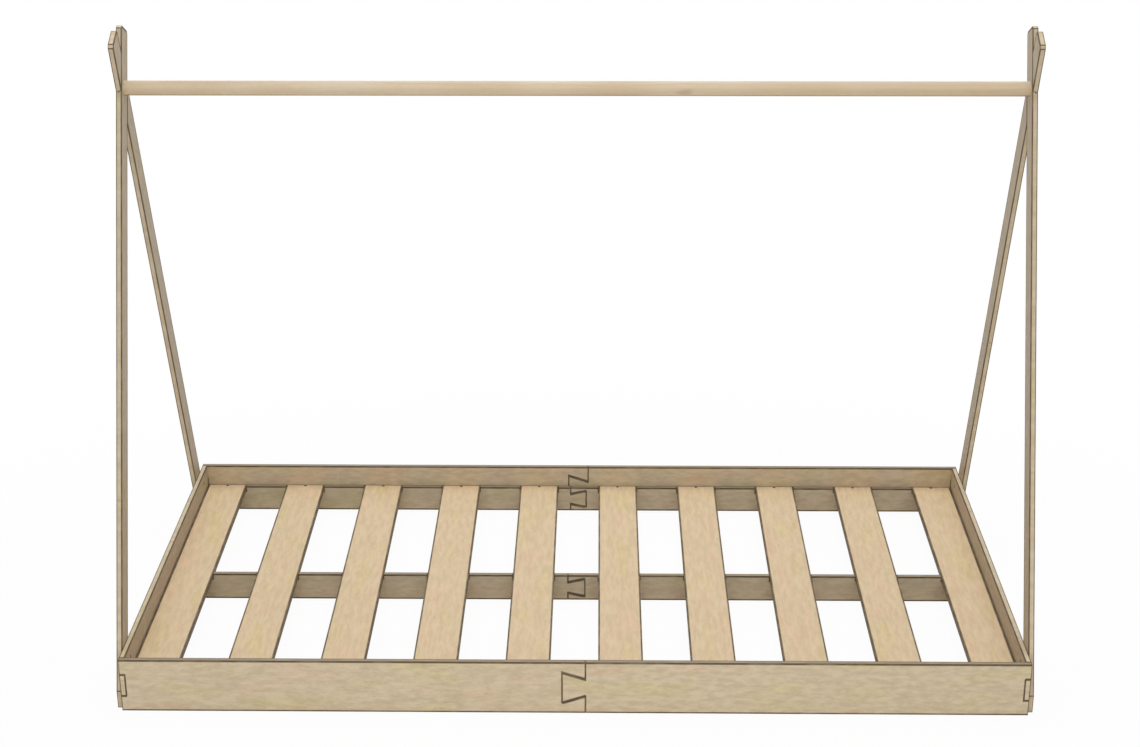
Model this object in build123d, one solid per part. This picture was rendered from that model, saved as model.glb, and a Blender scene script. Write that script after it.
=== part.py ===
"""Floor bed with a ridge pole on two crossed pole pairs, cut from one thickness of plywood board.

Units are millimetres. X runs along the bed, Y from front to back and Z up.
The origin is on the floor under the middle of the bed.
"""
import math
import os

from build123d import *

# Mattress that the frame is built around, and the room left on each of its sides
mattress_length = 1905.0
mattress_width = 965.0
mattress_room = 10.0

# Stock
board = 12.0
ridge_diameter = 32.0

# Working clearances
joint_clearance = 0.15
screw_clearance = 0.10
slat_end_clearance = 1.0
slat_side_clearance = 2.0
bearer_end_clearance = 0.3

# Rails and end boards, with the tab that locks each corner
rail_height = 124.0
tab_height = 50.0
rail_tail_length = 50.0
rail_tail_neck = 41.0
rail_tail_wide = 74.0

# Slat bearers
slat_top = 71.0
bearer_lift = 6.0
bearer_tail_length = 40.0
bearer_tail_neck = 28.0
bearer_tail_wide = 46.0
tenon_height = 36.0

# Slats
slat_count = 10
slat_width = 98.0

# Poles: the foot inset is where a centre line meets the floor, inside the end board's shoulder
pole_width = 55.0
foot_inset = 14.0
crossing_height = 1246.0
head_length = 132.0
head_skew = 6.5
head_chamfer = 6.0

# Countersunk wood screws: head diameter, shank diameter and length
slat_screw_head = 7.0
slat_screw_shank = 3.5
slat_screw_length = 30.0
pole_screw_head = 8.0
pole_screw_shank = 4.0
pole_screw_point_cover = 3.0
pole_screw_top_drop = 27.0
pole_screw_spacing = 62.0
ridge_screw_head = 10.0
ridge_screw_shank = 5.0
ridge_screw_length = 60.0
socket_share = 0.42
socket_depth = 1.4
point_share = 1.6
screw_sides = 16

# Sizes that follow
inner_length = mattress_length + 2 * mattress_room
inner_width = mattress_width + 2 * mattress_room
frame_length = inner_length + 2 * board
frame_width = inner_width + 2 * board
pole_top = rail_height - pole_screw_top_drop
bearer_height = slat_top - bearer_lift
bearer_middle = bearer_lift + bearer_height / 2
bearer_length = inner_length - 2 * bearer_end_clearance
bearer_offset = (inner_width - board) / 2
slat_seat = slat_top - board
slat_length = inner_width - 2 * slat_end_clearance
slat_pitch = (inner_length - 2 * slat_side_clearance - slat_width) / (slat_count - 1)
pole_screw_length = 2 * board - pole_screw_point_cover
lean_slope = (inner_width / 2 - foot_inset) / crossing_height
pole_lean = math.degrees(math.atan(lean_slope))


def plate(face, side, start):
    """Board cut to a face drawn in the XZ or YZ plane, from start one board along side."""
    return Pos(*(start * value for value in side)) * extrude(face, board, dir=side)


def rectangle(left, right, low, high):
    """Rectangle between two places across and two heights."""
    middle = Pos((left + right) / 2, (low + high) / 2)
    return middle * Rectangle(right - left, high - low)


def dovetail(length, neck, wide, play=0.0):
    """Tail that starts at the origin and widens towards +X, grown by the play on its three sides."""
    flare = (wide - neck) / 2 / length
    skin = play * math.hypot(1, flare)
    tip = length + play
    root_half = neck / 2 + skin
    tip_half = root_half + flare * tip
    return make_face(Polyline((0, -root_half), (tip, -tip_half), (tip, tip_half), (0, root_half), close=True))


def screw_section(diameter, height, play):
    """Section of a screw: its many sides stand for the round."""
    return Pos(0, 0, height) * RegularPolygon(diameter / 2 + play, screw_sides)


def screw_solid(head, shank, length, play=0.0):
    """Countersunk screw, or the hole it needs: its head is flush with the XY plane and it points down."""
    cone = (head - shank) / 2
    point = shank * point_share
    sections = [
        screw_section(head, 0, play),
        screw_section(shank, -cone, play),
        screw_section(shank, point - length, play),
        Vertex(0, 0, -length - play),
    ]
    return loft(sections, ruled=True)


def screw(head, shank, length):
    """Screw with the hexagonal socket in its head."""
    socket = extrude(RegularPolygon(head * socket_share / 2, 6), -socket_depth)
    return screw_solid(head, shank, length) - socket


slat_screw_size = (slat_screw_head, slat_screw_shank, slat_screw_length)
pole_screw_size = (pole_screw_head, pole_screw_shank, pole_screw_length)
ridge_screw_size = (ridge_screw_head, ridge_screw_shank, ridge_screw_length)


def slat_centre(index):
    """Place along X of a slat's middle."""
    return (index - (slat_count - 1) / 2) * slat_pitch


def slat_screw_place(index, side):
    """Screw at a slat's front or back end, over the middle of the bearer there."""
    return Pos(slat_centre(index), side * bearer_offset, slat_top)


def pole_line(height):
    """Distance of a pole's centre line from the crossing, at a height above the floor."""
    return (crossing_height - height) * lean_slope


def pole_screw_places(end):
    """Two screws for each pole foot, driven outwards from the inner face of the end board."""
    heights = (pole_top, pole_top - pole_screw_spacing)
    places = []
    for foot in (-1, 1):
        for height in heights:
            spot = Pos(end * inner_length / 2, foot * pole_line(height), height)
            places.append(spot * Rot(0, -end * 90, 0))
    return places


def ridge_screw_place(end):
    """Screw driven inwards through the middle of the crossing."""
    outer_face = frame_length / 2 + board
    return Pos(end * outer_face, 0, crossing_height) * Rot(0, end * 90, 0)


def drilled(body, places, size):
    """Body with a screw hole at each place."""
    for place in places:
        body -= place * screw_solid(*size, play=screw_clearance)
    return body


def rail_half(end):
    """Half of a rail in the XZ plane: the right half carries the tail and the left half its socket."""
    seam = rail_tail_length / 2
    middle = rail_height / 2
    tail_root = Pos(seam, middle) * Rot(0, 0, 180)
    half = frame_length / 2
    tab_low = middle - tab_height / 2 - joint_clearance
    tab_high = middle + tab_height / 2 + joint_clearance
    inner_face = inner_length / 2 - joint_clearance
    if end > 0:
        blank = rectangle(seam + joint_clearance, half, 0, rail_height)
        blank += tail_root * rectangle(-joint_clearance, 0, -rail_tail_neck / 2, rail_tail_neck / 2)
        blank += tail_root * dovetail(rail_tail_length, rail_tail_neck, rail_tail_wide)
        return blank - rectangle(inner_face, half, tab_low, tab_high)
    blank = rectangle(-half, seam, 0, rail_height)
    blank -= tail_root * dovetail(rail_tail_length, rail_tail_neck, rail_tail_wide, joint_clearance)
    return blank - rectangle(-half, -inner_face, tab_low, tab_high)


def rail(side, end):
    """Front or back rail half, outside the end boards' shoulders."""
    return plate(Plane.XZ * rail_half(end), (0, side, 0), inner_width / 2)


def end_board(end):
    """End board with a tab through each rail and a mortise for the centre bearer's tenon."""
    middle = rail_height / 2
    outline = rectangle(-inner_width / 2, inner_width / 2, 0, rail_height)
    outline += rectangle(-frame_width / 2, frame_width / 2, middle - tab_height / 2, middle + tab_height / 2)
    mortise = Rectangle(board + 2 * joint_clearance, tenon_height + 2 * joint_clearance)
    outline -= Pos(0, bearer_middle) * mortise
    blank = plate(Plane.YZ * outline, (end, 0, 0), inner_length / 2)
    return drilled(blank, pole_screw_places(end), pole_screw_size)


def bearer_half(end):
    """Half of a bearer in the XZ plane, with open housings for the slats along its top edge."""
    seam = -bearer_tail_length / 2
    half = bearer_length / 2
    tail_root = Pos(seam, bearer_middle)
    if end < 0:
        blank = rectangle(-half, seam - joint_clearance, bearer_lift, slat_top)
        blank += tail_root * rectangle(-joint_clearance, 0, -bearer_tail_neck / 2, bearer_tail_neck / 2)
        blank += tail_root * dovetail(bearer_tail_length, bearer_tail_neck, bearer_tail_wide)
    else:
        blank = rectangle(seam, half, bearer_lift, slat_top)
        blank -= tail_root * dovetail(bearer_tail_length, bearer_tail_neck, bearer_tail_wide, joint_clearance)
    for index in range(slat_count):
        blank -= slat_housing(index)
    return blank


def slat_housing(index):
    """Housing for one slat: the outermost two run out at the bearer's ends."""
    centre = slat_centre(index)
    left = centre - slat_width / 2 - joint_clearance
    right = centre + slat_width / 2 + joint_clearance
    if index == 0:
        left = -inner_length / 2
    if index == slat_count - 1:
        right = inner_length / 2
    return rectangle(left, right, slat_seat, slat_top)


def side_bearer(side, end):
    """Half of the bearer that lies along the inside of a rail, drilled for the slat screws."""
    start = inner_width / 2 - board
    half = plate(Plane.XZ * bearer_half(end), (0, side, 0), start)
    for index in range(slat_count):
        if slat_centre(index) * end > 0:
            half = drilled(half, [slat_screw_place(index, side)], slat_screw_size)
    return half


def centre_bearer(end):
    """Half of the bearer on the bed's middle line, with a tenon through the end board."""
    outline = bearer_half(end)
    root = bearer_length / 2 - board
    tip = frame_length / 2
    low = bearer_middle - tenon_height / 2
    high = bearer_middle + tenon_height / 2
    outline += rectangle(min(end * root, end * tip), max(end * root, end * tip), low, high)
    return plate(Plane.XZ * outline, (0, 1, 0), -board / 2)


def slat(index):
    """Slat from rail to rail, screwed at both ends."""
    blank = Pos(slat_centre(index), 0, slat_top - board / 2) * Box(slat_width, slat_length, board)
    return drilled(blank, [slat_screw_place(index, side) for side in (-1, 1)], slat_screw_size)


def pole_plank(foot, play=0.0):
    """Leaning plank in the YZ plane, its head cut skew and highest on the side of its foot."""
    reach = (crossing_height + pole_width) / math.cos(math.radians(pole_lean))
    low_length = head_length - pole_width * math.tan(math.radians(head_skew))
    high_side = foot * (pole_width / 2 + play)
    foot_end = [(high_side, -reach), (-high_side, -reach)]
    head_end = [(-high_side, low_length), (high_side, head_length)]
    plank = make_face(Polyline(*foot_end, *head_end, close=True))
    return Pos(0, crossing_height) * Rot(0, 0, foot * pole_lean) * plank


def pole_outline(foot):
    """Plank with chamfered head corners, its foot cut level with the floor and the shoulder."""
    plank = pole_plank(foot)
    head = plank.vertices().sort_by(Axis.Y)[-2:]
    plank = chamfer(head, head_chamfer)
    room = rectangle(-inner_width / 2, inner_width / 2, 0, 2 * crossing_height)
    return plank & room


def pole(end, foot):
    """Pole halved into its partner: the front one lies through on the inner side of the crossing."""
    inner = frame_length / 2
    blank = plate(Plane.YZ * pole_outline(foot), (end, 0, 0), inner)
    partner = Plane.YZ * pole_plank(-foot, joint_clearance)
    notch = extrude(partner, board / 2 + joint_clearance / 2, dir=(end, 0, 0))
    start = inner
    if foot < 0:
        start += board / 2 - joint_clearance / 2
    blank -= Pos(end * start, 0, 0) * notch
    blank = drilled(blank, pole_screw_places(end), pole_screw_size)
    return drilled(blank, [ridge_screw_place(end)], ridge_screw_size)


def ridge_pole():
    """Round pole between the two crossings, with a pilot hole in each end."""
    round_bar = Rot(0, 90, 0) * Cylinder(ridge_diameter / 2, frame_length)
    places = [ridge_screw_place(end) for end in (-1, 1)]
    return drilled(Pos(0, 0, crossing_height) * round_bar, places, ridge_screw_size)


def screw_group(places, size):
    """Identical screws as separate solids."""
    return Compound([(place * screw(*size)).solid() for place in places])


def every_part():
    """Each sub-part by its name."""
    parts = {}
    for end, end_name in ((-1, "left"), (1, "right")):
        parts[f"front_rail_{end_name}"] = rail(-1, end)
        parts[f"back_rail_{end_name}"] = rail(1, end)
        parts[f"{end_name}_end_board"] = end_board(end)
        parts[f"front_bearer_{end_name}"] = side_bearer(-1, end)
        parts[f"centre_bearer_{end_name}"] = centre_bearer(end)
        parts[f"back_bearer_{end_name}"] = side_bearer(1, end)
        parts[f"{end_name}_front_pole"] = pole(end, -1)
        parts[f"{end_name}_back_pole"] = pole(end, 1)
    for index in range(slat_count):
        parts[f"slat_{index + 1:02d}"] = slat(index)
    parts["ridge_pole"] = ridge_pole()
    slat_places = [slat_screw_place(index, side) for index in range(slat_count) for side in (-1, 1)]
    parts["slat_screws"] = screw_group(slat_places, slat_screw_size)
    pole_places = pole_screw_places(-1) + pole_screw_places(1)
    parts["pole_screws"] = screw_group(pole_places, pole_screw_size)
    ridge_places = [ridge_screw_place(end) for end in (-1, 1)]
    parts["ridge_screws"] = screw_group(ridge_places, ridge_screw_size)
    return parts


os.makedirs("parts", exist_ok=True)
for name, shape in every_part().items():
    export_step(shape, f"parts/{name}.step")
    print(name, len(shape.solids()), round(shape.volume / 1000, 1))
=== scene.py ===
import math

import bmesh
import bpy
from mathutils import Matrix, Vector


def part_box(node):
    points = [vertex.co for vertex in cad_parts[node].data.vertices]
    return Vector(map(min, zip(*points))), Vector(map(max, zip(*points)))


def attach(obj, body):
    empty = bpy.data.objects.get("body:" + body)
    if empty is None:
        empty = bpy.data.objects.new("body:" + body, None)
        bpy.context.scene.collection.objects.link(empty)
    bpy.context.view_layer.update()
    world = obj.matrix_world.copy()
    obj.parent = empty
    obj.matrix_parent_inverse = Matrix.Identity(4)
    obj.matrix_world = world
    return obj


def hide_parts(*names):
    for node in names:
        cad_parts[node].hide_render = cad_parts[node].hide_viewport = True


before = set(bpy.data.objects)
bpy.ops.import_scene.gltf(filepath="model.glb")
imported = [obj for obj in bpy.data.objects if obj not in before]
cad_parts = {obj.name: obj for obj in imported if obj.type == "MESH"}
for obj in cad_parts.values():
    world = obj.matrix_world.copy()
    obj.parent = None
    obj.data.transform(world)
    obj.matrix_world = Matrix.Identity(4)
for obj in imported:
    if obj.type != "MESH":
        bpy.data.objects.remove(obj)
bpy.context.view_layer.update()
print("frame loaded with", len(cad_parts), "nodes")


# a small kit for node trees

def socketNamed(sockets, key):
    if isinstance(key, int):
        return sockets[key]
    return next(s for s in sockets if s.identifier == key or (s.name == key and s.enabled))


class Wire:
    # a socket that can stand in a sum: every operator adds one Math node
    def __init__(self, graph, socket):
        self.graph, self.socket = graph, socket

    def combine(self, operation, first, second):
        return self.graph.add("ShaderNodeMath", {"operation": operation}, {0: first, 1: second})

    def __add__(self, other): return self.combine("ADD", self, other)
    def __radd__(self, other): return self.combine("ADD", other, self)
    def __sub__(self, other): return self.combine("SUBTRACT", self, other)
    def __rsub__(self, other): return self.combine("SUBTRACT", other, self)
    def __mul__(self, other): return self.combine("MULTIPLY", self, other)
    def __rmul__(self, other): return self.combine("MULTIPLY", other, self)
    def __truediv__(self, other): return self.combine("DIVIDE", self, other)
    def __rtruediv__(self, other): return self.combine("DIVIDE", other, self)
    def __pow__(self, other): return self.combine("POWER", self, other)
    def __rpow__(self, other): return self.combine("POWER", other, self)


class Graph:
    # adds nodes to one tree: type, then settings, then the values or wires of its sockets
    def __init__(self, tree):
        self.tree = tree

    def add(self, kind, settings=None, sockets=None, output=0):
        node = self.tree.nodes.new(kind)
        for key, value in (settings or {}).items():
            setattr(node, key, value)
        for key, value in (sockets or {}).items():
            socket = socketNamed(node.inputs, key)
            if isinstance(value, Wire):
                self.tree.links.new(value.socket, socket)
            else:
                socket.default_value = value
        return Wire(self, socketNamed(node.outputs, output)) if node.outputs else node

    def other(self, wire, output):
        # another output of the node that a wire comes from
        return Wire(self, socketNamed(wire.socket.node.outputs, output))


class Paint(Graph):
    # the tree of a material or of the world, with the few calls that they share
    def __init__(self, owner):
        self.owner = owner
        owner.use_nodes = True
        super().__init__(owner.node_tree)
        self.tree.nodes.clear()

    def attribute(self, name, output="Fac"):
        return self.add("ShaderNodeAttribute", {"attribute_name": name}, output=output)

    def split(self, vector):
        x = self.add("ShaderNodeSeparateXYZ", sockets={"Vector": vector}, output="X")
        return x, self.other(x, "Y"), self.other(x, "Z")

    def point(self, x, y, z):
        return self.add("ShaderNodeCombineXYZ", sockets={"X": x, "Y": y, "Z": z})

    def noise(self, place, scale=1.0, detail=2.0, roughness=0.5):
        return self.add("ShaderNodeTexNoise", sockets={
            "Vector": place, "Scale": scale, "Detail": detail, "Roughness": roughness}, output="Fac")

    def band(self, value, low, high):
        # 0 at low, 1 at high, smooth between; low may be the greater of the two
        return self.add("ShaderNodeMapRange", {"interpolation_type": "SMOOTHSTEP"}, {
            "Value": value, "From Min": low, "From Max": high})

    def blend(self, factor, first, second, kind="MIX"):
        return self.add("ShaderNodeMix", {"data_type": "RGBA", "blend_type": kind}, {
            "Factor_Float": factor, "A_Color": first, "B_Color": second}, "Result_Color")

    def finish(self, colour, roughness, height, bump, constants):
        normal = self.add("ShaderNodeBump", sockets={
            "Height": height, "Strength": bump[0], "Distance": bump[1]})
        shader = self.add("ShaderNodeBsdfPrincipled", sockets={
            "Base Color": colour, "Roughness": roughness, "Normal": normal, **constants})
        self.add("ShaderNodeOutputMaterial", sockets={"Surface": shader})
        return self.owner


def newGroup(name, inputs):
    # an empty Geometry Nodes tree with one geometry in and out, and named sizes
    tree = bpy.data.node_groups.new(name, "GeometryNodeTree")
    tree.interface.new_socket("Geometry", in_out="INPUT", socket_type="NodeSocketGeometry")
    for label, kind in inputs:
        tree.interface.new_socket(label, in_out="INPUT", socket_type="NodeSocket" + kind)
    tree.interface.new_socket("Geometry", in_out="OUTPUT", socket_type="NodeSocketGeometry")
    graph = Graph(tree)
    source = graph.add("NodeGroupInput")
    return graph, lambda label: graph.other(source, label)


def grow(piece, graph, values):
    # runs a tree on a piece once and keeps the plain mesh
    modifier = piece.modifiers.new("grow", "NODES")
    modifier.node_group = graph.tree
    for item in graph.tree.interface.items_tree:
        if item.in_out == "INPUT" and item.name in values:
            modifier[item.identifier] = values[item.name]
    depsgraph = bpy.context.evaluated_depsgraph_get()
    mesh = bpy.data.meshes.new_from_object(
        piece.evaluated_get(depsgraph), preserve_all_data_layers=True, depsgraph=depsgraph)
    piece.modifiers.clear()
    piece.data = mesh
    mesh.name = piece.name


def newPiece(name, mesh):
    piece = bpy.data.objects.new(name, mesh)
    bpy.context.collection.objects.link(piece)
    return piece


# the finishes

board = {
    "cream": (0.722, 0.590, 0.402, 1), "dusk": (0.590, 0.468, 0.303, 1),  # the veneer's two tones
    "honey": (0.985, 1.0, 0.88, 1), "blush": (1.035, 0.972, 0.985, 1), "slatTint": (1.10, 1.04, 0.98, 1),
    # the grey tint on this line is painted shade for the faces of end boards and poles towards the mattress
    # the last colour on this line darkens the edge rims, and paints shade on the slats' sides, in inside
    # corners and in screw holes
    "innerShadeTint": (0.80, 0.80, 0.845, 1), "fleck": (0.36, 0.26, 0.155, 1), "rimAndPaintedShade": (0.112, 0.076, 0.038, 1),
    "plyLight": (0.42, 0.335, 0.230, 1), "plyDark": (0.24, 0.18, 0.112, 1), "plyThickness": 0.00133,
    "bend": 0.014, "shift": 0.31,  # how far the grain wanders, and how far apart two boards' grain lies
    "tones": {"flake": 0.94, "slatFlake": -0.24, "drift": 0.10, "line": 0.18, "fibre": 0.10, "start": 0.35},
    "bands": {
        "flake": (0.30, 0.70), "honey": (0.52, 0.72), "blush": (0.48, 0.28), "pore": (0.69, 0.80),
        "pit": (0.67, 0.80), "ply": (0.35, 0.65), "smear": (0.45, 0.75), "rimAndPaintedShade": (0.0, 0.55),
        "patch": (0.3, 0.6)},
    "poreDepth": 0.5, "smearDepth": 0.35, "plyRagged": 0.3, "toastLeast": 0.80, "paintedSlatSideShade": 0.65,
    "rough": {"start": 0.46, "fibre": 0.14, "mottle": 0.10, "rimAndPaintedShade": 0.12},
    "height": {"fibre": 0.5, "line": 0.3, "flake": 0.25, "pit": -0.8, "ply": 0.3},
    "bump": (0.22, 0.0005), "shine": 0.35,
}
streaks = {  # noise waves for each metre along and across the grain; the rest keeps boards unlike
    "wander": {"along": 1.7, "across": 6.0, "slide": 3.7, "slice": 9.0},
    "drift": {"along": 1.4, "across": 11.0, "slide": 5.0, "slice": 4.0},
    "tint": {"along": 7.0, "across": 24.0, "slide": 1.0, "slice": 7.0, "start": 5.0},
    "flake": {"along": 34.0, "slat": -12.0, "across": 96.0, "slide": 2.0, "detail": 4, "roughness": 0.62},
    "line": {"along": 5.0, "across": 190.0, "slide": -1.0, "slice": 2.0, "start": 3.0, "detail": 3},
    "fibre": {"along": 12.0, "across": 900.0, "slice": 3.0, "deep": 300.0},
    "pore": {"along": 45.0, "across": 520.0, "slide": 1.0, "slice": 6.0, "detail": 1},
    "mottle": {"along": 26.0, "across": 60.0, "start": 2.0, "detail": 3},
}
plainStreak = {
    "slat": 0.0, "slide": 0.0, "slice": 1.0, "start": 0.0, "deep": 0.0, "detail": 2, "roughness": 0.5}


def veneerFinish():
    paint = Paint(bpy.data.materials.new("pale_veneer_board"))
    along, across, depth = paint.split(paint.attribute("grain", "Vector"))
    seed, warm, rim = paint.attribute("seed"), paint.attribute("warm"), paint.attribute("rim")
    cut, inner = paint.attribute("cut"), paint.attribute("inner")
    tones, rough, height = board["tones"], board["rough"], board["height"]

    def streak(name, sideways):
        use = {**plainStreak, **streaks[name]}
        place = paint.point(
            along * (use["along"] + use["slat"] * warm) + seed * use["slide"],
            sideways * use["across"],
            seed * use["slice"] + use["start"] + depth * use["deep"])
        return paint.noise(place, detail=use["detail"], roughness=use["roughness"])

    def band(value, name):
        return paint.band(value, *board["bands"][name])

    bent = across + board["bend"] * (streak("wander", across) - 0.5) + seed * board["shift"]
    drift, tint, flake = streak("drift", bent), streak("tint", bent), streak("flake", bent)
    line, fibre, pore = streak("line", bent), streak("fibre", bent), streak("pore", bent)
    mottle = streak("mottle", across)

    shade = (tones["flake"] + tones["slatFlake"] * warm) * (band(flake, "flake") - 0.5) + tones["start"]
    shade = shade + tones["drift"] * drift + tones["line"] * line + tones["fibre"] * fibre
    face = paint.blend(shade, board["dusk"], board["cream"])
    face = paint.blend(band(tint, "honey"), face, board["honey"], "MULTIPLY")
    face = paint.blend(band(tint, "blush"), face, board["blush"], "MULTIPLY")
    face = paint.blend(board["poreDepth"] * band(pore, "pore"), face, board["fleck"])
    # painted shade: faces of end boards and poles towards the mattress are darkened and greyed
    face = paint.blend(inner, face, board["innerShadeTint"], "MULTIPLY")

    layer = depth / board["plyThickness"] + board["plyRagged"] * mottle
    stripe = paint.add("ShaderNodeMath", {"operation": "PINGPONG"}, {0: layer, 1: 1.0})
    ply = paint.blend(band(stripe, "ply"), board["plyLight"], board["plyDark"])
    ply = paint.blend(board["smearDepth"] * band(mottle, "smear"), ply, board["dusk"])

    colour = paint.blend(warm, paint.blend(cut, face, ply), board["slatTint"], "MULTIPLY")
    least = board["toastLeast"]
    # patchy dark rims along every flat face's edges, like drawn outlines; along inside corners they are
    # painted shade
    rimAndPaintedShade = band(rim, "rimAndPaintedShade") * (least + (1 - least) * band(mottle, "patch"))
    # painted shade: the slats' sawn sides are darkened
    rimAndPaintedShade = rimAndPaintedShade + board["paintedSlatSideShade"] * cut * warm
    colour = paint.blend(rimAndPaintedShade, colour, board["rimAndPaintedShade"])
    roughness = rough["start"] + rough["fibre"] * fibre + rough["mottle"] * mottle + rough["rimAndPaintedShade"] * rimAndPaintedShade
    relief = height["fibre"] * fibre + height["line"] * line + height["flake"] * flake
    relief = relief + height["pit"] * band(pore, "pit") + height["ply"] * cut * stripe
    return paint.finish(colour, roughness, relief, board["bump"], {"Specular IOR Level": board["shine"]})


bar = {
    "light": (0.80, 0.645, 0.445, 1), "warm": (0.735, 0.565, 0.365, 1), "knot": (0.50, 0.33, 0.215, 1),
    # top: a darker, cooler tint for the bar's upper side, painted shade
    "under": (0.20, 0.14, 0.085, 1), "top": (0.83, 0.85, 0.90, 1),
    "sway": (1.6, 4.0), "zone": (3.1, 8.0), "spot": (9.0, 26.0), "fibre": (9.0, 800.0),
    "rings": (0.9, 150.0, 60.0), "ringSway": (3.0, 4.0),
    "zoneBand": (0.35, 0.65), "ringBand": (0.5, 0.75), "fibreBand": (0.45, 0.75), "knotBand": (0.66, 0.78),
    # the under colour, depth and band paint a dark band along the bar's underside: painted shade
    "ringDepth": 0.35, "fibreDepth": 0.12, "knotDepth": 0.5, "underDepth": 0.6,
    "axisHeight": 1.246, "paintedTopShadeBand": (0.0060, 0.0140), "underBand": (-0.0100, -0.0135),
    "rough": (0.48, 0.14, 0.08), "height": (0.6, 0.4), "bump": (0.18, 0.0005), "shine": 0.35,
}


def barFinish():
    paint = Paint(bpy.data.materials.new("round_bar_wood"))
    x, y, z = paint.split(paint.add("ShaderNodeTexCoord", output="Object"))

    def turned(name, detail=2.0):
        length, girth = bar[name]
        return paint.noise(paint.point(x * length, y * girth, z * girth), detail=detail)

    sway, zone, knot, fibre = turned("sway"), turned("zone", 3), turned("spot", 1), turned("fibre")
    rings = paint.noise(paint.point(
        x * bar["rings"][0], y * bar["rings"][1] + sway * bar["ringSway"][0],
        z * bar["rings"][2] + sway * bar["ringSway"][1]), detail=3)
    rise = z - bar["axisHeight"]
    colour = paint.blend(paint.band(zone, *bar["zoneBand"]), bar["light"], bar["warm"])
    colour = paint.blend(bar["ringDepth"] * paint.band(rings, *bar["ringBand"]), colour, bar["knot"])
    colour = paint.blend(bar["fibreDepth"] * paint.band(fibre, *bar["fibreBand"]), colour, bar["knot"])
    colour = paint.blend(bar["knotDepth"] * paint.band(knot, *bar["knotBand"]), colour, bar["knot"])
    # painted shade: the bar's upper side is darkened and cooled
    colour = paint.blend(paint.band(rise, *bar["paintedTopShadeBand"]), colour, bar["top"], "MULTIPLY")
    # painted shade: a dark band along the bar's underside
    colour = paint.blend(bar["underDepth"] * paint.band(rise, *bar["underBand"]), colour, bar["under"])
    base, byFibre, byZone = bar["rough"]
    fine, coarse = bar["height"]
    return paint.finish(colour, base + byFibre * fibre + byZone * zone, fine * fibre + coarse * rings,
                        bar["bump"], {"Specular IOR Level": bar["shine"]})


steel = {
    "dark": (0.045, 0.036, 0.028, 1), "worn": (0.22, 0.18, 0.13, 1), "grit": 900.0, "patch": 260.0,
    "wornBand": (0.45, 0.7), "rough": (0.34, 0.22), "bump": (0.2, 0.0002), "metallic": 0.85,
}


def screwFinish():
    paint = Paint(bpy.data.materials.new("dark_screw_metal"))
    place = paint.add("ShaderNodeTexCoord", output="Object")
    grit = paint.noise(place, steel["grit"], 3)
    patch = paint.noise(place, steel["patch"], 2)
    colour = paint.blend(paint.band(patch, *steel["wornBand"]), steel["dark"], steel["worn"])
    base, byGrit = steel["rough"]
    return paint.finish(colour, base + byGrit * grit, grit, steel["bump"], {"Metallic": steel["metallic"]})


veneer, barWood, screwMetal = veneerFinish(), barFinish(), screwFinish()
print("finishes made")


# boards: each is its node's mesh, welded, with broken arrises and dark rims along the edges, which are
# painted shade at inside corners and in screw holes

boards = {
    "arris": 0.0006, "arrisSteps": 2, "rimWidth": 0.0042, "narrowShare": 0.19,  # most of a face's width
    "weld": 0.0002, "flatWithin": math.radians(0.6), "sharpFrom": math.radians(28),
    "shortEdge": 0.0030, "step": 0.0013, "narrow": 0.0020,  # what is too small for an arris or a rim
    "alongGrain": 0.9, "level": 0.99999, "flatFace": 0.7,  # cosines that count as the same way
}


def weldedCopy(node):
    form = bmesh.new()
    form.from_mesh(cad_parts[node].data)
    bmesh.ops.remove_doubles(form, verts=form.verts[:], dist=boards["weld"])
    bmesh.ops.dissolve_limit(
        form, angle_limit=boards["flatWithin"], verts=form.verts[:], edges=form.edges[:])
    return form


def breakArrises(form):
    sharp = [e for e in form.edges if len(e.link_faces) == 2 and e.is_convex
             and e.calc_length() > boards["shortEdge"]
             and e.calc_face_angle(0) > boards["sharpFrom"]
             and min(2 * f.calc_area() / f.calc_perimeter() for f in e.link_faces) > boards["step"]]
    bmesh.ops.bevel(form, geom=sharp, offset=boards["arris"], offset_type="OFFSET",
                    segments=boards["arrisSteps"],
                    profile=0.5, affect="EDGES", clamp_overlap=False)
    form.normal_update()


def flatRegions(form):
    # lists of faces that lie in one plane and touch
    left = set(form.faces)
    for first in list(form.faces):
        if first not in left:
            continue
        left.remove(first)
        region = [first]
        for face in region:
            for edge in face.edges:
                for near in edge.link_faces:
                    if near in left and near.normal.dot(face.normal) > boards["level"]:
                        left.remove(near)
                        region.append(near)
        yield region


def insetLines(region, along, rimShares):
    # the outline's edges with the rim's width at each, and the lines that lie at that width inside
    inside, normal = set(region), region[0].normal.copy()
    outline, length = [], 0.0
    for face in region:
        for loop in face.loops:
            if all(near in inside for near in loop.edge.link_faces):
                continue
            start, end = loop.vert.co.copy(), loop.link_loop_next.vert.co.copy()
            length += (end - start).length
            if (end - start).length > boards["shortEdge"]:
                isEnd = abs((end - start).normalized().dot(along)) < boards["alongGrain"]
                share = rimShares[isEnd]
                outline.append((start, end, share))
    width = 2 * sum(face.calc_area() for face in region) / length
    most, lines = boards["narrowShare"] * width, {}
    outline = [(start, end, min(share * boards["rimWidth"], most)) for start, end, share in outline]
    for start, end, reach in outline:
        inward = normal.cross(end - start).normalized()
        spot = start + inward * reach
        lines[tuple(round(c, 3) for c in inward) + (round(spot.dot(inward), 4),)] = (spot, inward)
    return outline if width > boards["narrow"] else [], lines.values()


def nearness(spot, outline):
    # 1 on the outline, 0 from the rim's width inwards
    least = min(reach for start, end, reach in outline)
    near = 0.0
    for start, end, reach in outline:
        run = (end - start).normalized()
        ahead = (spot - start).dot(run)
        beyond = max(0.0, -ahead, ahead - (end - start).length)
        beside = (spot - start - run * ahead).length
        near = max(near, 1.0 - math.hypot(beside / reach, beyond / least))
    return near


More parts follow.
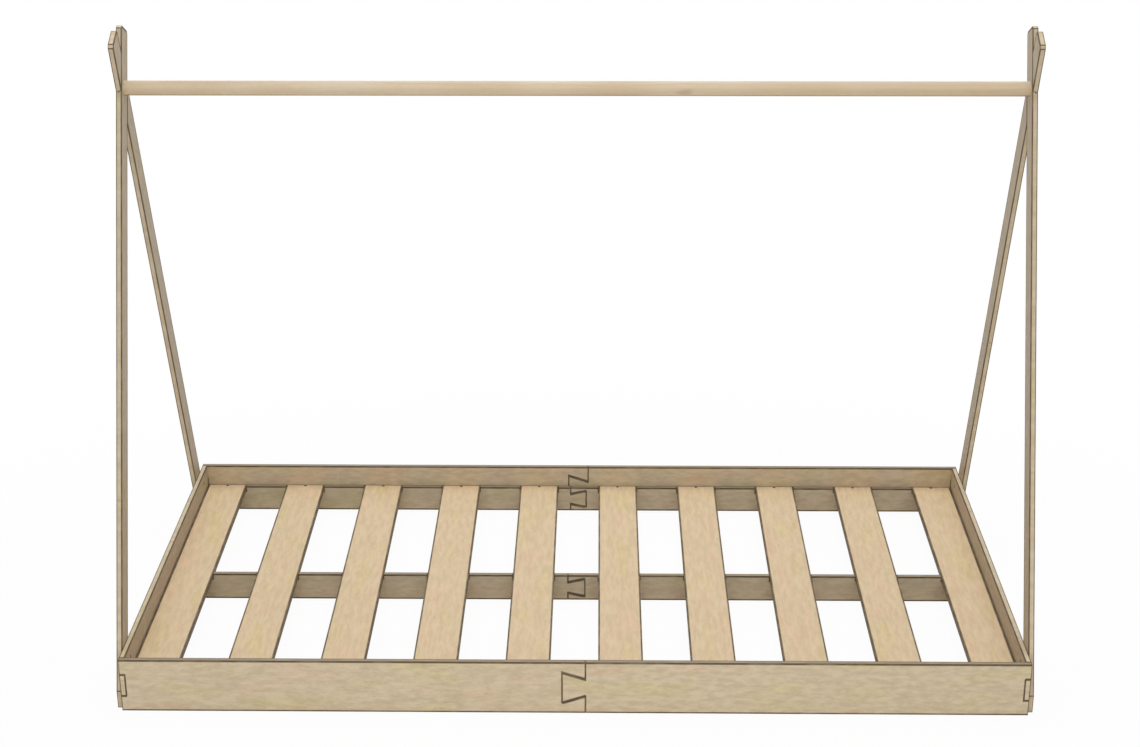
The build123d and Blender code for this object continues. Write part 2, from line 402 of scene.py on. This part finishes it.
def markRims(form, along, rimShares):
    # cuts a band inside every flat outline and writes how near each corner is to an arris
    values = {}
    rim = form.verts.layers.float.new("rim")
    for region in list(flatRegions(form)):  # listed first, because the cuts add faces
        outline, lines = insetLines(region, along, rimShares)
        if not outline:
            continue
        region = bmesh.ops.triangulate(form, faces=region)["faces"]
        for spot, inward in lines:
            parts = dict.fromkeys(part for face in region for part in (face, *face.edges, *face.verts))
            cut = bmesh.ops.bisect_plane(
                form, geom=list(parts), dist=1e-6, plane_co=spot, plane_no=inward)
            region = [part for part in cut["geom"] if isinstance(part, bmesh.types.BMFace)]
        for vert in {v for face in region for v in face.verts}:
            values[vert] = max(values.get(vert, 0.0), nearness(vert.co, outline))
    # faces in no banded region, such as bevels and the screw holes' walls, get the full dark rim, which in
    # the holes is painted shade
    for vert in form.verts:
        vert[rim] = values.get(vert, 1.0)
    form.normal_update()


def markGrain(form, axes, warmth, seed, sawn):
    # grain: metres along, across and through the board; cut: how much a sawn edge shows its layers;
    # warm: 1 on the slats; inner shade: 1 on the faces of end boards and poles towards the mattress, which
    # the material darkens and greys as painted shade
    grain = form.verts.layers.float_vector.new("grain")
    cut = form.faces.layers.float.new("cut")
    warm = form.verts.layers.float.new("warm")
    inner = form.faces.layers.float.new("inner")
    low = Vector([min(v.co[i] for v in form.verts) for i in range(3)])
    high = Vector([max(v.co[i] for v in form.verts) for i in range(3)])
    middle = (low + high) / 2
    for vert in form.verts:
        vert[grain] = [(vert.co - middle).dot(axis) for axis in axes]
        vert[warm] = warmth
    for face in form.faces:
        flat = abs(face.normal.dot(axes[2])) > boards["flatFace"]
        face[cut] = 0.0 if flat else sawn
        face[inner] = 1.0 if flat and face.normal.x * middle.x < -boards["flatFace"] else 0.0
    if seed is not None:
        number = form.verts.layers.float.new("seed")
        for vert in form.verts:
            vert[number] = seed


def boardPiece(node, name, kind, warmth=0.0, seed=None):
    form = weldedCopy(node)
    breakArrises(form)
    markRims(form, kind["axes"][0], kind["rims"])
    markGrain(form, kind["axes"], warmth, seed, kind["sawn"])
    mesh = bpy.data.meshes.new(name)
    form.to_mesh(mesh)
    form.free()
    if "custom_normal" in mesh.attributes:
        mesh.attributes.remove(mesh.attributes["custom_normal"])
    mesh.shade_flat()
    mesh.materials.clear()
    mesh.materials.append(veneer)
    return newPiece(name, mesh)


def settle(piece, nodes):
    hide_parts(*nodes)
    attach(piece, "root")


xAxis, yAxis, zAxis = Vector((1, 0, 0)), Vector((0, 1, 0)), Vector((0, 0, 1))
leanAngle = math.atan(0.38403)


def poleAxes(foot):
    # foot is -1 for a pole that stands at the front, 1 at the back
    along = Vector((0, -foot * math.sin(leanAngle), math.cos(leanAngle)))
    return along, Vector((0, math.cos(leanAngle), foot * math.sin(leanAngle))), xAxis


# axes: along, across and through the board; rims: shares of the rim's width at edges along the grain
# and at the others; sawn: how much the sawn edges show their layers
boardKinds = {
    "rail": {"axes": (xAxis, zAxis, yAxis), "rims": (1.0, 0.38), "sawn": 1.0},
    "bearer": {"axes": (xAxis, zAxis, yAxis), "rims": (1.0, 0.38), "sawn": 1.0},
    "end_board": {"axes": (yAxis, zAxis, xAxis), "rims": (1.0, 0.38), "sawn": 0.0},
    "front_pole": {"axes": poleAxes(-1), "rims": (1.4, 1.4), "sawn": 0.0},
    "back_pole": {"axes": poleAxes(1), "rims": (1.4, 1.4), "sawn": 0.0},
    "slat": {"axes": (yAxis, xAxis, zAxis), "rims": (1.0, 0.38), "sawn": 1.0},
}
boardSeeds = {"first": 0.5, "step": 0.37}
boardNodes = [n for n in sorted(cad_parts) if "slat" not in n and any(k in n for k in boardKinds)]
for number, node in enumerate(boardNodes):
    kind = boardKinds[next(k for k in boardKinds if k in node)]
    seed = boardSeeds["step"] * number + boardSeeds["first"]
    piece = boardPiece(node, node + "_wood", kind, seed=seed)
    settle(piece, [node])
print("boards made:", len(boardNodes))


# slats: one board, set out along the bed

slatNodes = [n for n in sorted(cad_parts) if n.startswith("slat_") and n != "slat_screws"]
slatCentres = [(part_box(n)[0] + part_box(n)[1]) / 2 for n in slatNodes]
slats = {
    "Count": len(slatNodes), "Pitch": (slatCentres[-1] - slatCentres[0]) / (len(slatNodes) - 1),
    "First Seed": 0.2, "Seed Step": 0.61, "Material": veneer,
}


def slatTree():
    graph, given = newGroup("slat_row", [
        ("Count", "Int"), ("Pitch", "Vector"), ("First Seed", "Float"), ("Seed Step", "Float"),
        ("Material", "Material")])
    line = graph.add("GeometryNodeMeshLine", {"mode": "OFFSET"}, {
        "Count": given("Count"), "Offset": given("Pitch")})
    row = graph.add("GeometryNodeInstanceOnPoints", sockets={"Points": line, "Instance": given("Geometry")})
    seed = graph.add("GeometryNodeInputIndex") * given("Seed Step") + given("First Seed")
    row = graph.add("GeometryNodeStoreNamedAttribute", {"data_type": "FLOAT", "domain": "INSTANCE"}, {
        "Geometry": row, "Name": "seed", "Value": seed})
    row = graph.add("GeometryNodeRealizeInstances", sockets={"Geometry": row})
    row = graph.add("GeometryNodeSetMaterial", sockets={"Geometry": row, "Material": given("Material")})
    graph.add("NodeGroupOutput", sockets={"Geometry": row})
    return graph


slatRow = boardPiece(slatNodes[0], "slats_wood", boardKinds["slat"], warmth=1.0)
grow(slatRow, slatTree(), slats)
settle(slatRow, slatNodes)
print("slats made:", len(slatRow.data.polygons), "faces")


# ridge pole: a round bar between the crossings

ridgeLow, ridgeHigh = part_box("ridge_pole")
ridgeHeight = (ridgeLow.z + ridgeHigh.z) / 2
ridge = {
    "Start": Vector((ridgeLow.x, 0, ridgeHeight)), "End": Vector((ridgeHigh.x, 0, ridgeHeight)),
    "Radius": (ridgeHigh.z - ridgeLow.z) / 2, "Sides": 64, "Material": barWood,
}


def ridgeTree():
    graph, given = newGroup("round_bar", [
        ("Start", "Vector"), ("End", "Vector"), ("Radius", "Float"), ("Sides", "Int"),
        ("Material", "Material")])
    line = graph.add("GeometryNodeCurvePrimitiveLine", sockets={
        "Start": given("Start"), "End": given("End")})
    ring = graph.add("GeometryNodeCurvePrimitiveCircle", sockets={
        "Resolution": given("Sides"), "Radius": given("Radius")})
    tube = graph.add("GeometryNodeCurveToMesh", sockets={
        "Curve": line, "Profile Curve": ring, "Fill Caps": True})
    tube = graph.add("GeometryNodeMergeByDistance", sockets={"Geometry": tube, "Distance": 0.00001})
    tube = graph.add("GeometryNodeSetMaterial", sockets={
        "Geometry": tube, "Material": given("Material")})
    graph.add("NodeGroupOutput", sockets={"Geometry": tube})
    return graph


ridgeBar = newPiece("ridge_bar", bpy.data.meshes.new("ridge_bar"))
grow(ridgeBar, ridgeTree(), ridge)
ridgeBar.data.materials.clear()
ridgeBar.data.materials.append(barWood)
for polygon in ridgeBar.data.polygons:
    polygon.use_smooth = len(polygon.vertices) == 4
settle(ridgeBar, ["ridge_pole"])
print("ridge made:", len(ridgeBar.data.polygons), "faces")


# screws: one turned form for each size, set out where the node has them

screws = {
    "slat_screws": {"head": 0.0035, "shank": 0.00175, "seed": 3},
    "pole_screws": {"head": 0.0040, "shank": 0.0020, "seed": 8},
    "ridge_screws": {"head": 0.0050, "shank": 0.0025, "seed": 5},
}
screwForm = {  # shares of the head's radius, but point is a share of the shank's
    "sides": 32, "arm": 0.62, "halfWidth": 0.16, "waist": 0.3, "recess": 0.40, "recessMiddle": 0.46,
    "recessFloor": 0.55, "headDepth": 0.72, "point": 1.6, "edge": 0.97, "edgeDrop": 0.00015,
    "sharpFrom": math.radians(32),
}


def screwSpots(node):
    # the middle of every head and the way out of the board, from the node's loose solids
    form = bmesh.new()
    form.from_mesh(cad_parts[node].data)
    bmesh.ops.remove_doubles(form, verts=form.verts[:], dist=1e-6)
    left, spots = set(form.verts), []
    while left:
        solid = [left.pop()]
        for vert in solid:
            for near in [edge.other_vert(vert) for edge in vert.link_edges]:
                if near in left:
                    left.remove(near)
                    solid.append(near)
        low = Vector([min(v.co[i] for v in solid) for i in range(3)])
        high = Vector([max(v.co[i] for v in solid) for i in range(3)])
        middle, size = (low + high) / 2, high - low
        axis = max(range(3), key=lambda i: size[i])
        wide = max(solid, key=lambda v: sum((v.co[i] - middle[i]) ** 2 for i in range(3) if i != axis))
        out = Vector((0, 0, 0))
        out[axis] = 1.0 if wide.co[axis] > middle[axis] else -1.0
        spot = middle.copy()
        spot[axis] = high[axis] if out[axis] > 0 else low[axis]
        spots.append((spot, out, size[axis]))
    form.free()
    return sorted(spots, key=lambda s: tuple(round(c, 4) for c in s[0]))


def crossRadius(angle):
    # outline of the driver's cross, as a share of the head's radius
    quarter = angle % (math.pi / 2)
    near = max(math.sin(min(quarter, math.pi / 2 - quarter)), 1e-6)
    return min(screwForm["arm"], screwForm["halfWidth"] / near, screwForm["waist"] + math.cos(2 * angle) ** 2)


def turnedScrew(name, head, shank, length):
    # rings from the middle of the recess over the head and down to the point
    sides, drop = screwForm["sides"], screwForm["recess"] * head
    cross = [crossRadius(2 * math.pi * i / sides) * head for i in range(sides)]
    neck, taper = screwForm["headDepth"] * head, length - screwForm["point"] * shank
    rings = [[(screwForm["recessFloor"] * r, -drop) for r in cross], [(r, 0.0) for r in cross]]
    for radius, depth in (
            (head * screwForm["edge"], 0.0), (head, screwForm["edgeDrop"]), (shank, neck), (shank, taper)):
        rings.append([(radius, -depth)] * sides)
    verts = [(0, 0, -screwForm["recessMiddle"] * head)]
    for ring in rings:
        for i, (radius, height) in enumerate(ring):
            angle = 2 * math.pi * i / sides
            verts.append((radius * math.cos(angle), radius * math.sin(angle), height))
    verts.append((0, 0, -length))
    faces, last = [], len(verts) - 1
    for i in range(sides):
        j = (i + 1) % sides
        faces.append((0, 1 + i, 1 + j))
        for k in range(len(rings) - 1):
            a, b = 1 + k * sides, 1 + (k + 1) * sides
            faces.append((a + i, b + i, b + j, a + j))
        faces.append((last, last - sides + j, last - sides + i))
    mesh = bpy.data.meshes.new(name)
    mesh.from_pydata(verts, [], faces)
    mesh.shade_smooth()
    mesh.set_sharp_from_angle(angle=screwForm["sharpFrom"])
    return newPiece(name, mesh)


def screwTree():
    graph, given = newGroup("screw_set", [
        ("Screw", "Object"), ("Roll Seed", "Int"), ("Material", "Material")])
    form = graph.add("GeometryNodeObjectInfo", sockets={"Object": given("Screw")}, output="Geometry")
    out = graph.add("GeometryNodeInputNamedAttribute", {"data_type": "FLOAT_VECTOR"}, {"Name": "out"})
    turn = graph.add("FunctionNodeAlignRotationToVector", {"axis": "Z"}, {"Vector": out})
    row = graph.add("GeometryNodeInstanceOnPoints", sockets={
        "Points": given("Geometry"), "Instance": form, "Rotation": turn})
    roll = graph.add("FunctionNodeRandomValue", {"data_type": "FLOAT"}, {
        "Min_001": 0.0, "Max_001": 2 * math.pi, "Seed": given("Roll Seed")}, "Value_001")
    spin = graph.add("FunctionNodeAxisAngleToRotation", sockets={"Axis": (0.0, 0.0, 1.0), "Angle": roll})
    row = graph.add("GeometryNodeRotateInstances", sockets={
        "Instances": row, "Rotation": spin, "Local Space": True})
    row = graph.add("GeometryNodeRealizeInstances", sockets={"Geometry": row})
    row = graph.add("GeometryNodeSetMaterial", sockets={"Geometry": row, "Material": given("Material")})
    graph.add("NodeGroupOutput", sockets={"Geometry": row})
    return graph


screwGraph = screwTree()
for node, size in screws.items():
    spots = screwSpots(node)
    form = turnedScrew("form", size["head"], size["shank"], spots[0][2])
    points = bpy.data.meshes.new(node)
    points.from_pydata([spot for spot, out, length in spots], [], [])
    outs = points.attributes.new("out", "FLOAT_VECTOR", "POINT")
    for item, (spot, out, length) in zip(outs.data, spots):
        item.vector = out
    piece = newPiece(node + "_metal", points)
    grow(piece, screwGraph, {"Screw": form, "Roll Seed": size["seed"], "Material": screwMetal})
    bpy.data.objects.remove(form)  # only the grown copies stay
    settle(piece, [node])
    print(node, "made:", len(spots))


# floor, light and camera

stage = {
    "size": 60.0, "floor": (0.82, 0.82, 0.82, 1), "white": (1, 1, 1, 1),
    "shown": 0.955, "near": 1.0, "far": 2.4, "deeper": 2.0,  # the seen white dips a little near the bed
}


def stageWhite(paint, seen):
    path = paint.add("ShaderNodeLightPath", output="Is Camera Ray")
    glossy, through = paint.other(path, "Is Glossy Ray"), paint.other(path, "Is Transmission Ray")
    return paint.add("ShaderNodeMath", {"operation": "MINIMUM"}, {0: path + glossy + through, 1: 1.0}) * seen


def floorFinish():
    paint = Paint(bpy.data.materials.new("floor_white"))
    lit = paint.add("ShaderNodeBsdfDiffuse", sockets={"Color": stage["floor"]})
    plain = paint.add("ShaderNodeEmission", sockets={"Color": stage["white"], "Strength": 1.0})
    x, y, z = paint.split(paint.add("ShaderNodeTexCoord", output="Object"))
    away = paint.band((x * x + stage["deeper"] * y * y) ** 0.5, stage["near"], stage["far"])
    seen = stageWhite(paint, stage["shown"] + (1 - stage["shown"]) * away)
    both = paint.add("ShaderNodeMixShader", sockets={0: seen, 1: lit, 2: plain})
    paint.add("ShaderNodeOutputMaterial", sockets={"Surface": both})
    return paint.owner


half = stage["size"] / 2
corners = [(-half, -half, 0), (half, -half, 0), (half, half, 0), (-half, half, 0)]
floorMesh = bpy.data.meshes.new("floor")
floorMesh.from_pydata(corners, [], [(0, 1, 2, 3)])
floorMesh.materials.append(floorFinish())
newPiece("floor", floorMesh)

light = {
    "skyColour": (0.97, 1.0, 1.04, 1), "lampColour": (1.0, 0.988, 0.96),
    "sky": 0.71, "side": 0.03, "sideBand": (0.12, 0.72),  # the sky is dark to the left and right
}
world = bpy.data.worlds.new("studio")
bpy.context.scene.world = world
sky = Paint(world)
skyLit = sky.add("ShaderNodeBackground", sockets={
    "Color": light["skyColour"], "Strength": light["sky"]})
sideLit = sky.add("ShaderNodeBackground", sockets={
    "Color": light["skyColour"], "Strength": light["side"]})
x, y, z = sky.split(sky.add("ShaderNodeTexCoord", output="Generated"))
skyLit = sky.add("ShaderNodeMixShader", sockets={
    0: sky.band(x * x, *light["sideBand"]), 1: skyLit, 2: sideLit})
skyShown = sky.add("ShaderNodeBackground", sockets={"Color": stage["white"], "Strength": 1.0})
sky.add("ShaderNodeOutputWorld", sockets={
    "Surface": sky.add("ShaderNodeMixShader", sockets={0: stageWhite(sky, 1.0), 1: skyLit, 2: skyShown})})

lamps = {
    "strip": {"place": (0, -2.6, 0.17), "aim": (0, 0, 0.17), "size": (3.2, 0.3), "power": 13},
    "back": {"place": (0, 1.6, 4.0), "aim": (0, 0.2, 0), "size": (2.5, 2.5), "power": 38},
    "top": {"place": (0, -0.4, 4.2), "aim": (0, 0, 0), "size": (3.0, 2.0), "power": 42},
}
for name, lamp in lamps.items():
    data = bpy.data.lights.new(name, "AREA")
    data.shape, data.energy, data.color = "RECTANGLE", lamp["power"], light["lampColour"]
    data.size, data.size_y = lamp["size"]
    stand = newPiece(name, data)
    stand.location = lamp["place"]
    ray = Vector(lamp["aim"]) - Vector(lamp["place"])
    stand.rotation_euler = ray.to_track_quat("-Z", "Y").to_euler()

view = {
    "place": (0.0506235, -4.2822204, 2.315011), "turn": (67.9935, 0.1354, 0.8076), "lens": 64.117,
    "sensor": 36.0, "reach": 200,
}
camera = bpy.data.cameras.new("camera")
camera.sensor_fit, camera.sensor_width, camera.lens = "HORIZONTAL", view["sensor"], view["lens"]
camera.clip_end = view["reach"]
shot = newPiece("camera", camera)
shot.location = view["place"]
shot.rotation_euler = [math.radians(a) for a in view["turn"]]
bpy.context.scene.camera = shot
bpy.context.scene.view_settings.view_transform = "Standard"
print("stage, light and camera set")
